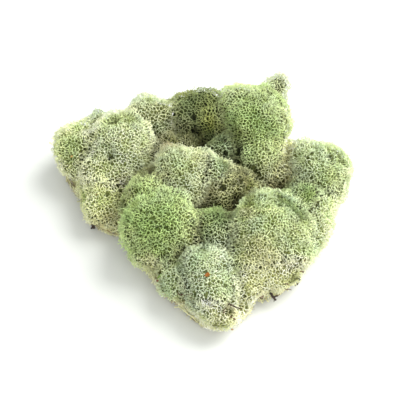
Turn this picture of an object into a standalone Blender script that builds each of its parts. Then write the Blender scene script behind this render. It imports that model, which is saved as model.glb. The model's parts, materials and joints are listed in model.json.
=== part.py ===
"""A clump of preserved reindeer moss, resting on its flat underside.

Rounded heads of very fine branchlets press against each other on a thin matted layer of old
stalks. A few bits of twig, bark and needle are caught in them. Lengths are in metres and +Z is up.
The front of the clump faces -Y, and the origin is under the middle of its box.
"""

import math

import bmesh
import bpy
from mathutils import Matrix, Vector, noise
from mathutils.bvhtree import BVHTree

MM = 0.001

# Driving dimensions.
BASE_HEIGHT = 10 * MM  # the matted layer under the heads
TOUCH_GAP = 0.3 * MM  # left between two pieces that press against each other
LUMP_HEIGHT = 2.2 * MM  # how far the small lumps of a head rise and sink
LUMP_WIDTH = 11 * MM
LUMP_DETAIL = (1.0, 2.0, 2)  # the fractal noise's roughness, its step in size and its octaves
CREASE_SOFTNESS = 1.6 * MM  # rounds the crease between two lobes of one head
CONTACT_REACH = 3 * MM  # lobes of two heads that come this near are parted by a plane

# How fine the heads are.
FACET = 3.9 * MM  # about how long a facet is
FEWEST_SQUARES = 4  # along a side of the cube that becomes the ball
CUT_SNAP = 0.2 * MM  # a corner this near to a cut moves onto it, which leaves no slivers
ON_PLANE = 0.0005 * MM
SHORTEST_EDGE = 0.15 * MM

# Each head: the finish, then its lobes as (x, y, z, radius) in millimetres. The first is its main one.
TUFTS = {
    "tuft_far_left": ("fresh", [(-79, 38, 22, 14), (-76, 29, 17, 12), (-72, 46, 22, 9)]),
    "tuft_left_notch": ("fresh", [(-65, 54, 23, 9), (-64, 52, 17, 9)]),
    "tuft_left": ("cream", [(-50, 35, 25, 21), (-60, 18, 19, 15), (-42, 24, 20, 12), (-50, 12, 20, 12)]),
    "tuft_back_left": ("straw_green", [(-33, 59, 23, 15.5), (-27, 52, 15, 13), (-42, 58, 21, 10)]),
    "tuft_left_foot": (
        "straw",
        [(-59, -1, 13, 15), (-53, 10, 15, 11), (-48, -7, 12, 10), (-65, 8, 14, 10)],
    ),
    "tuft_back_middle": ("shaded", [(-5, 66, 20, 16), (-12, 66, 20, 12), (2, 66, 21, 13), (-6, 53, 14, 12)]),
    "tuft_back_hollow": ("shaded", [(11, 57, 23, 14), (5, 48, 14, 11), (19, 52, 19, 12)]),
    "tuft_middle": (
        "cream",
        [
            (-12, 7, 30.9, 16.8),
            (-16, 14, 34, 10),
            (-2, 12, 31.5, 11),
            (-19, 9, 28, 12),
            (-8, -1, 28, 12),
            (-12, 9, 21, 15),
        ],
    ),
    "tuft_middle_right": ("mint", [(9, 9, 29, 11), (6, 11, 19, 9)]),
    "tuft_middle_left": (
        "green",
        [(-24, -27, 24, 22), (-30, -5, 26, 14), (-36, -11, 22, 13), (-27, -38, 15, 13.5)],
    ),
    "tuft_back_knob": ("shaded", [(48, 73, 37.5, 7.5), (47, 68, 31, 8)]),
    "tuft_back_right": (
        "green",
        [
            (34, 49, 32, 19),
            (23, 61, 36, 12),
            (37, 60, 35, 13),
            (47, 50, 30, 11),
            (36, 25, 21, 16),
            (24, 34, 20, 13),
            (45, 32, 19, 11),
        ],
    ),
    "tuft_hollow_high": ("shaded", [(13, 30, 25, 10), (13, 31, 17, 9)]),
    "tuft_hollow_left": ("olive", [(-20, 37, 15, 12), (-9, 38, 14, 11), (-28, 34, 14, 9)]),
    "tuft_hollow_low": ("olive", [(16, 4, 17, 15), (24, 13, 15, 10), (33, 3, 13, 10)]),
    "tuft_right_hollow": ("old_moss", [(53, 29, 15, 11), (51, 17, 14, 10), (46, 9, 13, 8)]),
    "tuft_right": ("mint", [(73, 15, 24, 18), (65, 24, 28, 10), (84, 21, 24, 10), (77, 8, 18, 12)]),
    "tuft_right_inner": ("mint", [(60, -9, 23, 12.5), (60, -8, 17, 12)]),
    "tuft_right_flank": ("pale", [(68, -19, 16, 13), (63, -30, 14, 11), (72, -8, 18, 10)]),
    "tuft_front_right": (
        "lime",
        [(41, -31, 24.5, 22.5), (34, -21, 29, 13.5), (52, -37, 18, 16), (28, -48, 16, 14)],
    ),
    "tuft_front_gap": ("shaded", [(8, -29, 22, 12.5), (7, -27, 18, 11)]),
    "tuft_front": ("mint", [(4, -59, 21, 15.5), (6, -67, 17, 14.5), (0, -56, 20, 10)]),
    "tuft_front_left_foot": ("pale", [(-13, -61, 12, 11.5), (-17, -53, 13, 9)]),
    "tuft_front_foot": ("straw", [(11, -81, 12, 11), (2, -75, 13, 9)]),
    "tuft_front_right_foot": ("straw", [(47, -52, 12, 13), (29, -59, 12, 13)]),
}

# Hollows pressed into a head: (head, x, y, z of the spot above it, width, depth) in millimetres.
HOLLOWS = [
    ("tuft_left", -55, 14, 40, 9, 4.5),
    ("tuft_left", -49, -7, 24, 8, 3.5),
    ("tuft_back_right", 29, 15, 26, 9, 4),
    ("tuft_right", 77, 13, 42, 8, 3),
    ("tuft_front_right", 50, -53, 40, 9, 2.5),
    ("tuft_front", 10, -64, 36, 8, 2.5),
]

# The matted layer: it follows the heads' outline, and stays this far inside it.
BASE_INSET = 5.5 * MM
OVERHANG = 0.45  # the higher a head sits, the further it leans out over the layer
BASE_SEGMENTS = 56
BASE_RINGS = (0.3, 0.65)  # shares of its height
BASE_ROUNDING = 3 * MM  # how far its rim draws in at the floor and at the top
BASE_WAVE = 1.2 * MM
BASE_WAVE_WIDTH = 7 * MM
NEIGHBOURS = (-1, 0, 1)  # the directions that a corner's reach is evened out over

# The sticks: (name, what carries them, points along the middle, thickness, the way they face,
# finish), in millimetres.
FRONT_RIGHT = ("straw_base", "tuft_front_right_foot", "tuft_front_right")
STICKS = [
    (
        "long_dark_twig",
        FRONT_RIGHT,
        [(36.5, -59, 11), (38.2, -60, 9), (40, -61.3, 7)],
        1.5,
        (0.45, -0.89, 0),
        "bark",
    ),
    ("short_dark_twig", FRONT_RIGHT, [(53, -55, 4.5), (56.5, -52, 7.5)], 1.2, (0.6, -0.8, 0), "bark"),
    (
        "brown_needle",
        ("tuft_front_foot", "tuft_front"),
        [(14.5, -76, 16.4), (18.5, -76.5, 15.2), (22, -77, 12.6)],
        0.9,
        (0.3, -0.55, 0.78),
        "needle",
    ),
]
STICK_ROUNDNESS = 1
CAP_WELD = 0.01 * MM

# The flat bits: (name, what carries it, place, size, the way it faces, finish), in millimetres.
CHIPS = [
    ("orange_leaf_flake", "tuft_front", (4, -69, 35), (3.2, 2.6, 1.0), (0, -0.6, 0.8), "orange_leaf"),
    ("bark_bit_left", "straw_base", (-66, -13, 4), (3.0, 1.2, 5.0), (-0.5, -0.86, 0), "bark"),
    ("bark_bit_left_foot", "tuft_left_foot", (-72, 0, 12), (1.4, 1.4, 2.4), (-1, -0.1, 0.2), "bark"),
    ("bark_bit_right", "straw_base", (58.5, -47.5, 7), (2.6, 1.0, 1.4), (0.7, -0.7, 0), "bark"),
    ("bark_bit_front", "straw_base", (17, -83, 4), (2.6, 1.2, 2.0), (0.2, -0.98, 0), "needle"),
]
CHIP_ROUGHNESS = 0.3
CHIP_WAVE = 0.35  # for a ball as wide as 1
LAY_FROM = 25 * MM  # a stick or bit starts this far out, and comes in until it nearly touches

FINISHES = {
    "fresh": ((0.40, 0.51, 0.20), 0.85),
    "green": ((0.28, 0.38, 0.14), 0.85),
    "lime": ((0.42, 0.51, 0.22), 0.85),
    "mint": ((0.42, 0.51, 0.27), 0.85),
    "cream": ((0.42, 0.48, 0.25), 0.85),
    "straw_green": ((0.42, 0.48, 0.26), 0.85),
    "shaded": ((0.17, 0.21, 0.09), 0.9),
    "olive": ((0.20, 0.22, 0.09), 0.9),
    "old_moss": ((0.24, 0.22, 0.10), 0.9),
    "pale": ((0.55, 0.62, 0.34), 0.85),
    "straw": ((0.60, 0.58, 0.36), 0.9),
    "old_stalk": ((0.34, 0.28, 0.14), 0.95),
    "bark": ((0.035, 0.022, 0.014), 0.9),
    "needle": ((0.13, 0.05, 0.025), 0.6),
    "orange_leaf": ((0.36, 0.13, 0.03), 0.7),
}


def clear_scene():
    for obj in list(bpy.data.objects):
        bpy.data.objects.remove(obj, do_unlink=True)


def new_collection(name):
    collection = bpy.data.collections.new(name)
    bpy.context.scene.collection.children.link(collection)


def new_material(name, finish):
    colour, roughness = FINISHES[finish]
    material = bpy.data.materials.new(name)
    material.use_nodes = True
    shader = material.node_tree.nodes["Principled BSDF"]
    shader.inputs["Base Color"].default_value = (*colour, 1.0)
    shader.inputs["Roughness"].default_value = roughness
    shader.inputs["Metallic"].default_value = 0.0
    material.diffuse_color = (*colour, 1.0)
    return material


def new_object(name, bm, finish, place):
    """Turns the shape into an object at its place, with its own material."""
    bmesh.ops.recalc_face_normals(bm, faces=bm.faces)
    mesh = bpy.data.meshes.new(name)
    bm.to_mesh(mesh)
    bm.free()
    mesh.materials.append(new_material(name, finish))
    mesh.shade_smooth()
    obj = bpy.data.objects.new(name, mesh)
    obj.location = place
    bpy.data.collections["moss_clump"].objects.link(obj)
    return obj


def lobes_of(name):
    return [(Vector(lobe[:3]) * MM, lobe[3] * MM) for lobe in TUFTS[name][1]]


def way_out(start, direction, centre, radius):
    """The distance from start to where a ray leaves the ball, or zero where it misses."""
    to_start = start - centre
    along = direction.dot(to_start)
    inside = along * along - (to_start.length_squared - radius * radius)
    return max(0.0, math.sqrt(inside) - along) if inside > 0 else 0.0


def soft_maximum(values, softness):
    top = max(values)
    total = sum(math.exp((value - top) / softness) for value in values)
    return top + softness * math.log(total)


def head_form(name):
    """A head before its neighbours cut it: lobes run together, with lumps and hollows."""
    lobes = lobes_of(name)
    centre, radius = lobes[0]
    squares = max(FEWEST_SQUARES, round(math.pi / 2 * radius / FACET))
    bm = bmesh.new()
    bmesh.ops.create_cube(bm, size=2)
    bmesh.ops.subdivide_edges(bm, edges=bm.edges, cuts=squares - 1, use_grid_fill=True)
    for vertex in bm.verts:
        # The tangent spreads the cube's grid evenly over the ball.
        spread = Vector(math.tan(c * math.pi / 4) for c in vertex.co)
        direction = spread.normalized()
        reach = soft_maximum([way_out(centre, direction, *lobe) for lobe in lobes], CREASE_SOFTNESS)
        spot = centre + direction * reach
        reach += LUMP_HEIGHT * noise.fractal(spot / LUMP_WIDTH, *LUMP_DETAIL)
        reach -= hollow_depth(name, centre, direction, radius)
        vertex.co = direction * reach
    return bm


def hollow_depth(name, centre, direction, radius):
    depth = 0.0
    for owner, x, y, z, width, deep in HOLLOWS:
        if owner == name:
            aim = (Vector((x, y, z)) * MM - centre).normalized()
            off_axis = direction.angle(aim) * radius / (width * MM / 2)
            depth += deep * MM * math.exp(-off_axis * off_axis)
    return depth


def cut_flat(bm, point, outward):
    """Cuts off what lies beyond the plane and closes the cut. The plane is in the head's own space."""
    for vertex in bm.verts:
        off = (vertex.co - point).dot(outward)
        if abs(off) < CUT_SNAP:
            vertex.co -= outward * off
    everything = bm.verts[:] + bm.edges[:] + bm.faces[:]
    bmesh.ops.bisect_plane(
        bm, geom=everything, dist=ON_PLANE, plane_co=point, plane_no=outward, clear_outer=True
    )
    on_cut = {vertex for vertex in bm.verts if abs((vertex.co - point).dot(outward)) < ON_PLANE}
    lying_on_it = [face for face in bm.faces if on_cut.issuperset(face.verts)]
    bmesh.ops.delete(bm, geom=lying_on_it, context="FACES")
    rim = [edge for edge in bm.edges if len(edge.link_faces) == 1]
    if rim:
        bmesh.ops.edgeloop_fill(bm, edges=rim)


def shared_plane(name, other):
    """Where two heads press together: a point and the way to the other head, or None if they don't.

    Each pair of lobes that overlap would part at one plane. The heads part at the middle of those,
    and the deeper an overlap is, the more it counts.
    """
    point, outward, total = Vector(), Vector(), 0.0
    for centre, radius in lobes_of(name):
        for other_centre, other_radius in lobes_of(other):
            between = other_centre - centre
            apart = between.length
            overlap = radius + other_radius + CONTACT_REACH - apart
            if overlap <= 0:
                continue
            shared = (apart * apart + radius * radius - other_radius * other_radius) / (2 * apart)
            weight = overlap * overlap
            point += weight * (centre + between.normalized() * shared)
            outward += weight * between.normalized()
            total += weight
    if total == 0:
        return None
    return point / total, outward.normalized()


def tuft(name):
    centre, radius = lobes_of(name)[0]
    bm = head_form(name)
    for other in TUFTS:
        plane = None if other == name else shared_plane(name, other)
        if plane:
            point, outward = plane
            cut_flat(bm, point - centre - outward * TOUCH_GAP / 2, outward)
    cut_flat(bm, Vector((0, 0, BASE_HEIGHT + TOUCH_GAP - centre.z)), Vector((0, 0, -1)))
    bmesh.ops.dissolve_degenerate(bm, edges=bm.edges, dist=SHORTEST_EDGE)
    bmesh.ops.triangulate(bm, faces=bm.faces)
    return new_object(name, bm, TUFTS[name][0], centre)


def footprint_reach(angle):
    """How far the heads reach over the floor from the origin, in one direction."""
    direction = Vector((math.cos(angle), math.sin(angle), 0))
    reaches = []
    for name in TUFTS:
        for centre, radius in lobes_of(name):
            on_floor = Vector((centre.x, centre.y, 0))
            rise = OVERHANG * (centre.z - BASE_HEIGHT)
            across = math.sqrt(max(0.0, radius * radius - rise * rise))
            reaches.append(way_out(Vector(), direction, on_floor, across))
    return max(reaches)


def straw_base():
    """The matted layer of old stalks: a low disc that follows the heads' outline, flat below."""
    bm = bmesh.new()
    bmesh.ops.create_cone(
        bm,
        cap_ends=True,
        segments=BASE_SEGMENTS,
        radius1=1,
        radius2=1,
        depth=BASE_HEIGHT,
        matrix=Matrix.Translation((0, 0, BASE_HEIGHT / 2)),
    )
    for level in BASE_RINGS:
        everything = bm.verts[:] + bm.edges[:] + bm.faces[:]
        bmesh.ops.bisect_plane(
            bm, geom=everything, plane_co=(0, 0, level * BASE_HEIGHT), plane_no=(0, 0, 1)
        )
    step = 2 * math.pi / BASE_SEGMENTS
    for vertex in bm.verts:
        angle = math.atan2(vertex.co.y, vertex.co.x)
        around = [footprint_reach(angle + turn * step) for turn in NEIGHBOURS]
        level = vertex.co.z / BASE_HEIGHT
        rounding = BASE_ROUNDING * (2 * level - 1) ** 2
        reach = (max(around) + sum(around) / len(around)) / 2 - BASE_INSET - rounding
        direction = Vector((math.cos(angle), math.sin(angle), 0))
        wave = noise.noise((direction * reach + Vector((0, 0, vertex.co.z))) / BASE_WAVE_WIDTH)
        vertex.co.xy = (direction * (reach + BASE_WAVE * wave)).xy
    bmesh.ops.triangulate(bm, faces=bm.faces)
    return new_object("straw_base", bm, "old_stalk", Vector())


def tube(name, points, thickness, finish):
    """A stick: a tube along points given in millimetres, made a mesh."""
    curve = bpy.data.curves.new(name, "CURVE")
    curve.dimensions = "3D"
    curve.bevel_depth = thickness / 2
    curve.bevel_resolution = STICK_ROUNDNESS
    curve.use_fill_caps = True
    spline = curve.splines.new("POLY")
    spline.points.add(len(points) - 1)
    for point, (x, y, z) in zip(spline.points, points):
        point.co = (x * MM, y * MM, z * MM, 1)
    guide = bpy.data.objects.new(name + "_guide", curve)
    bpy.context.scene.collection.objects.link(guide)
    graph = bpy.context.evaluated_depsgraph_get()
    mesh = bpy.data.meshes.new_from_object(guide.evaluated_get(graph))
    bpy.data.objects.remove(guide, do_unlink=True)
    bm = bmesh.new()
    bm.from_mesh(mesh)
    bpy.data.meshes.remove(mesh)
    bmesh.ops.remove_doubles(bm, verts=bm.verts, dist=CAP_WELD)
    return new_object(name, bm, finish, Vector())


def chip(name, place, size, finish):
    """A flat irregular bit: a ball of few faces, pressed thin and roughened."""
    bm = bmesh.new()
    bmesh.ops.create_icosphere(bm, subdivisions=1, radius=0.5)
    for vertex in bm.verts:
        rough = 1 + CHIP_ROUGHNESS * noise.noise((vertex.co + place) / CHIP_WAVE)
        vertex.co = Vector(c * s * rough for c, s in zip(vertex.co, size))
    return new_object(name, bm, finish, place)


def lay_on(obj, hosts, outward):
    """Moves a loose bit against outward until it nearly touches what carries it."""
    bpy.context.view_layer.update()
    trees = []
    for host in hosts:
        bm = bmesh.new()
        bm.from_mesh(host.data)
        bm.transform(host.matrix_world)
        trees.append(BVHTree.FromBMesh(bm))
        bm.free()
    travel = []
    for vertex in obj.data.vertices:
        start = obj.matrix_world @ vertex.co + outward * LAY_FROM
        hits = [tree.ray_cast(start, -outward) for tree in trees]
        travel += [hit[3] for hit in hits if hit[0] is not None]
    obj.location += outward * (LAY_FROM - min(travel) + TOUCH_GAP)


def caught_bits(pieces):
    """The twigs, the needle, the leaf flake and the bark caught in the clump."""
    for name, hosts, points, thickness, outward, finish in STICKS:
        stick = tube(name, points, thickness * MM, finish)
        lay_on(stick, [pieces[host] for host in hosts], Vector(outward).normalized())
    for name, host, place, size, outward, finish in CHIPS:
        bit = chip(name, Vector(place) * MM, Vector(size) * MM, finish)
        lay_on(bit, [pieces[host]], Vector(outward).normalized())


def centre_on_origin(objects):
    """Puts the origin under the middle of the box around every piece."""
    bpy.context.view_layer.update()
    corners = [obj.matrix_world @ Vector(corner) for obj in objects for corner in obj.bound_box]
    for axis in (0, 1):
        places = [corner[axis] for corner in corners]
        middle = (min(places) + max(places)) / 2
        for obj in objects:
            obj.location[axis] -= middle


def main():
    clear_scene()
    new_collection("moss_clump")
    pieces = {name: tuft(name) for name in TUFTS}
    pieces["straw_base"] = straw_base()
    caught_bits(pieces)
    centre_on_origin(list(bpy.data.objects))


main()
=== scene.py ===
"""The looks of a clump of preserved reindeer moss.

Each head is a net of short branches that meet in junctions round small open cells, over a second,
lower net and an inner mat that is dark with painted shade, with pointed spurs at the junctions and
loose sprays that make its edge soft. Bent old stalks lie on the sides of the matted base and under
it, and bits of twig, bark, needle and leaf are caught in the moss. Lengths are in metres and +Z is up.
"""

import json
import math

import bmesh
import bpy
import numpy as np
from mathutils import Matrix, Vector, noise
from mathutils.bvhtree import BVHTree
from mathutils.kdtree import KDTree


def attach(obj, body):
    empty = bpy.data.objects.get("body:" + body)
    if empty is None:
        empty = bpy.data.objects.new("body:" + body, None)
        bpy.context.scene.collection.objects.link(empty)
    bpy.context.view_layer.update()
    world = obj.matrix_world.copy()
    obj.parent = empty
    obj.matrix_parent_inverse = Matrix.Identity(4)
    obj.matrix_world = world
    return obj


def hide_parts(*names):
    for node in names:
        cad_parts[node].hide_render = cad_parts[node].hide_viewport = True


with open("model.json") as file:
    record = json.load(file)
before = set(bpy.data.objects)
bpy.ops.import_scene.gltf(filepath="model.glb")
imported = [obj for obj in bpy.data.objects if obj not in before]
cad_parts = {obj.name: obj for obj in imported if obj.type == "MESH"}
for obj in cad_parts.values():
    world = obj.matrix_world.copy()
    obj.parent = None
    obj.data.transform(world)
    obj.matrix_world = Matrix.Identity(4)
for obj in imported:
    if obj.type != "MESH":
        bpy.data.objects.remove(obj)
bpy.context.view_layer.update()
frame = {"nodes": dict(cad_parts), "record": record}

MM = 0.001
SEED = 7
MERGE = 0.001 * MM  # corners of a solid this near to each other are one

# The branches at the surface meet in junctions, round small open cells.
CELL = 1.08 * MM  # how far apart the cells' middles keep, at least
LOW_CELL = 1.25 * MM
CROWDING = 1.7  # how often a cell is tried for: a few tries leave them uneven
LOW_DEPTH = 0.9 * MM  # a second, lower layer lies this deep
ARM_LENGTH = 1.5 * MM
ARM_WIDTH = 0.47 * MM
ARM_END = 0.3 * MM
SLENDER = 0.85  # the width of a slender arm, next to a common one
SPUR_LENGTH = 0.75 * MM
SPUR_WIDTH = 0.4 * MM
STALK_LENGTH = 4 * MM  # the stalks under the junctions
STALK_WIDTH = 0.5 * MM
SPUR_SHARE = 0.6  # the share of junctions that carry a spur
STALK_SHARE = 0.25
SPRAY_SHARE = 0.06  # the share of junctions that carry a loose spray
SPRAY_TIPS = 3
SIDES = 3
NEARLY_UPRIGHT = 0.9  # a way that points up more than this needs another axis to be turned about
FINE = 14  # the grid on each face of a solid, where the cells' borders are looked for

# How unevenly they grow: a spread turns single branches off their way, and a reach stretches them.
ARM_REACH = (0.75, 1.1)  # how much of the way to the next junction an arm goes
ARM_MISS = 0.18 * MM  # how far its end misses that way
ARM_TONES = (0.8, 1.12)
SPUR_SPREAD = 0.7
SPUR_REACH = (0.6, 1.5)
STALK_SPREAD = 0.25
SPRAY_SPREAD = 0.35
SPRAY_REACH = (0.6, 1.8)  # in millimetres
TIP_SPREAD = 0.75  # of the spurs at a spray's end
TIP_REACH = (0.6, 1.3)

# How they lie on a head. A lump's height is how far it rises and sinks.
PROUD = 0.3 * MM  # how far the junctions stand out of the head's solid
LUMP_HEIGHT = 2.0 * MM
LUMP_WIDTH = 7 * MM
CURL_HEIGHT = 1.3 * MM  # the smallest lumps are curls of a few branches
CURL_WIDTH = 3 * MM
SWELL_HEIGHT = 2 * MM  # the largest ones
SWELL_WIDTH = 15 * MM
LOWEST = 1.5 * MM  # no junction lies nearer to the table
CONTACT = 0.6 * MM  # a spot with another head this near gets no branches
SEAM_WIDTH = 8 * MM  # as near to another head as this, they rise to close the seam
SEAM_RISE = 3.2 * MM
UNEVEN = 0.4 * MM  # how far single junctions rise and sink
MISSING = 0.1  # the share of arms that are gone, which opens some cells to each other
LOW_MISSING = 0.15
PIT_SPACING = 2.1 * MM  # every so far, a wider cell opens down to the mat
PIT_CLEARANCE = 1.2 * MM
HOLE_RAGGED = 0.6  # how uneven the rims of the holes are
HOLE_RAGGED_WIDTH = 2 * MM
HOLE_FUNNEL = 1.5  # how wide and deep a hole's funnel in the mat is, next to its radius
# painted shade: how much darker the colour is in a hole
HOLE_PAINTED_SHADE = 0.9
MAT_DEPTH = 3 * MM  # the inner mat lies this deep; its dark colour is painted shade deep in the head
MAT_LUMPS = 1.2 * MM
MAT_TIP = 0.1
MAT_TONE = 0.9
BASE_MAT_DEPTH = 2 * MM
FADE_DEPTH = 5.8 * MM  # from the surface to this depth, the value "tip" falls from 1 to 0
MOST_TIP = 1.05
CUT_HEIGHT = 0.5 * MM  # what is lower than this is the cut underside
CUT_MAT_HEIGHT = 1.2 * MM
RAGGED = 3.5 * MM  # how far noise shifts the borders of the colour patches
RAGGED_WIDTH = 8 * MM
MOTTLE_WIDTH = 12 * MM
MOTTLE_SHARE = 0.35  # how much there is of a head's second colour
MOTTLE_CONTRAST = 0.9
NEIGHBOUR_SHARE = 0.5  # how much of the next head's colour there is where two touch

# The open sky that a branch sees is measured with rays, from a little way off.
OPEN_RAYS = 20
OPEN_START = 2.5 * MM
OPEN_REACH = 45 * MM
OPEN_LEAN = 1.2  # how much the rays lean to the way out

# How far a branch has aged, from its own colour to the old one: partly the real age of low and
# sheltered branches, and partly painted shade where they see little sky and at seams.
SHADE_AGE = 0.6  # where it sees no sky; partly painted shade
SKY_AGE = 1.1  # how fast that falls as it sees more
SEAM_AGE_AND_SHADE = 0.2  # where two heads touch; partly painted shade in the seam
LOW_AGE = 0.2  # at the table
LOW_AGE_FALL = 50 * MM  # the height in which that falls by 1
AGE_MOTTLE = 0.3
AGE_MOTTLE_WIDTH = 9 * MM
MOST_AGE = 0.85
OLD_BRIGHT = 1.2

# How light or dark it is: a tone of its own, painted shade where it sees little sky, and mottling.
TONES = (0.88, 1.1)
SHADE_DARKENING = 0.4  # painted shade, where it sees no sky
SKY_LIGHTENING = 0.5  # how fast that falls as it sees more
TONE_MOTTLE = 0.15
TONE_MOTTLE_WIDTH = 6 * MM

# Each noise pattern is read at a place of its own, this many of its widths along X.
SHIFTS = {
    "lumps": 0,
    "swells": 0,
    "ragged_x": 3,
    "ragged_y": 6,
    "ragged_z": 9,
    "age_and_shade": 20,
    "tone": 30,
    "mottle": 40,
    "mat": 50,
    "holes": 70,
    "curls": 90,
}

# The old stalks of the base. On its sides, they are turned to lie mostly level.
OLD_STALK_SPACING = 2.6 * MM
OLD_STALK_LENGTH = 12 * MM
OLD_STALK_WIDTH = 0.75 * MM
OLD_STALK_THINNING = (1, 0.95, 0.8, 0.45)
SIDE_BRANCH_WIDTHS = (0.4 * MM, 0.34 * MM, 0.18 * MM)
OLD_STALK_RISE = 0.3 * MM
OLD_STALK_HEIGHT = 0.75 * MM  # where they lie under the clump
OLD_STALK_REACH = (0.6, 1.1)
OLD_STALK_TONES = (0.75, 1.15)
LEVEL = (0.4, 0.4, 1)
SIDE_SLOPE = 0.5  # a face whose way out points up less than this is a side
BROWN_RARITY = 2.5  # the higher, the fewer stalks are brown

# The colours of fresh and old moss at its tips, and the colours of painted shade.
MINT = (0.69, 0.83, 0.57)
PALE_MINT = (0.80, 0.90, 0.68)
GREEN = (0.56, 0.73, 0.32)
DEEP_GREEN = (0.36, 0.58, 0.18)
LIME = (0.77, 0.88, 0.49)
PALE_LIME = (1.0, 1.0, 0.66)
CREAM = (0.87, 0.92, 0.63)
PALE_CREAM = (0.98, 0.97, 0.79)
STRAW = (0.87, 0.88, 0.56)
TAN = (0.62, 0.56, 0.32)
OLIVE = (0.46, 0.50, 0.16)
GREY_GREEN = (0.37, 0.46, 0.21)
# painted shade: a dark green for crevices and gaps
PAINTED_SHADE_GREEN = (0.20, 0.28, 0.11)
BROWN = (0.40, 0.30, 0.15)
# painted shade: a dark brown, and a near black, for crevices, gaps and holes
PAINTED_SHADE_BROWN = (0.26, 0.24, 0.10)
PAINTED_SHADE_DARK = (0.08, 0.09, 0.03)

# The two colours of each of the caught bits' finishes.
DARK_BARK = (0.016, 0.010, 0.008), (0.075, 0.045, 0.030)
BROWN_BARK = (0.02, 0.009, 0.005), (0.08, 0.04, 0.022)
ORANGE_LEAF = (0.27, 0.095, 0.015), (0.12, 0.04, 0.008)

# Each piece's colour, the one that it is mottled with, how bright it is, and how much of age and
# painted shade shows on it. The brightness partly paints light and shade: it is raised on hollows and
# front feet that the lamps leave darker, and lowered on shaded heads, and the last value is low on the
# front pieces so that they stay light. The grey-greens and olives of the back and hollow heads are
# partly painted shade.
COLOURS = {
    "tuft_far_left": (LIME, CREAM, 1.2, 1.0),
    "tuft_left_notch": (MINT, PALE_MINT, 0.88, 1.0),
    "tuft_left": (CREAM, PALE_MINT, 1.22, 1.0),
    "tuft_back_left": (CREAM, MINT, 1.0, 1.0),
    "tuft_left_foot": (STRAW, LIME, 1.33, 1.0),
    "tuft_back_middle": (GREY_GREEN, OLIVE, 0.86, 1.0),
    "tuft_back_hollow": (GREY_GREEN, OLIVE, 1.38, 1.0),
    "tuft_middle": (CREAM, MINT, 1.0, 1.0),
    "tuft_middle_right": (MINT, CREAM, 1.12, 1.0),
    "tuft_middle_left": (GREEN, LIME, 1.12, 1.0),
    "tuft_back_knob": (PALE_MINT, CREAM, 0.9, 1.0),
    "tuft_back_right": (GREEN, LIME, 1.12, 1.0),
    "tuft_hollow_high": (GREY_GREEN, MINT, 0.92, 1.0),
    "tuft_hollow_left": (OLIVE, STRAW, 0.67, 1.0),
    "tuft_hollow_low": (OLIVE, STRAW, 1.24, 1.0),
    "tuft_right_hollow": (TAN, STRAW, 3.4, 1.0),
    "tuft_right": (PALE_MINT, LIME, 1.05, 1.0),
    "tuft_right_inner": (GREEN, MINT, 0.83, 1.0),
    "tuft_right_flank": (CREAM, MINT, 1.19, 0.3),
    "tuft_front_right": (LIME, MINT, 1.05, 0.6),
    "tuft_front_gap": (GREY_GREEN, GREEN, 1.07, 1.0),
    "tuft_front": (PALE_MINT, MINT, 1.08, 0.6),
    "tuft_front_left_foot": (MINT, CREAM, 1.0, 1.0),
    "tuft_front_foot": (PALE_CREAM, PALE_MINT, 1.75, 0.2),
    "tuft_front_right_foot": (PALE_CREAM, STRAW, 1.7, 0.25),
    "straw_base": (STRAW, TAN, 2.05, 1.0),
}
OLD_AND_SHADE_HUE = (0.61, 0.60, 0.31)  # what the moss fades to low down, and the painted shade where little light comes
PALEST = 1.15  # no branch is brighter than this in its strongest colour, so that pale ones keep a tint
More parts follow.
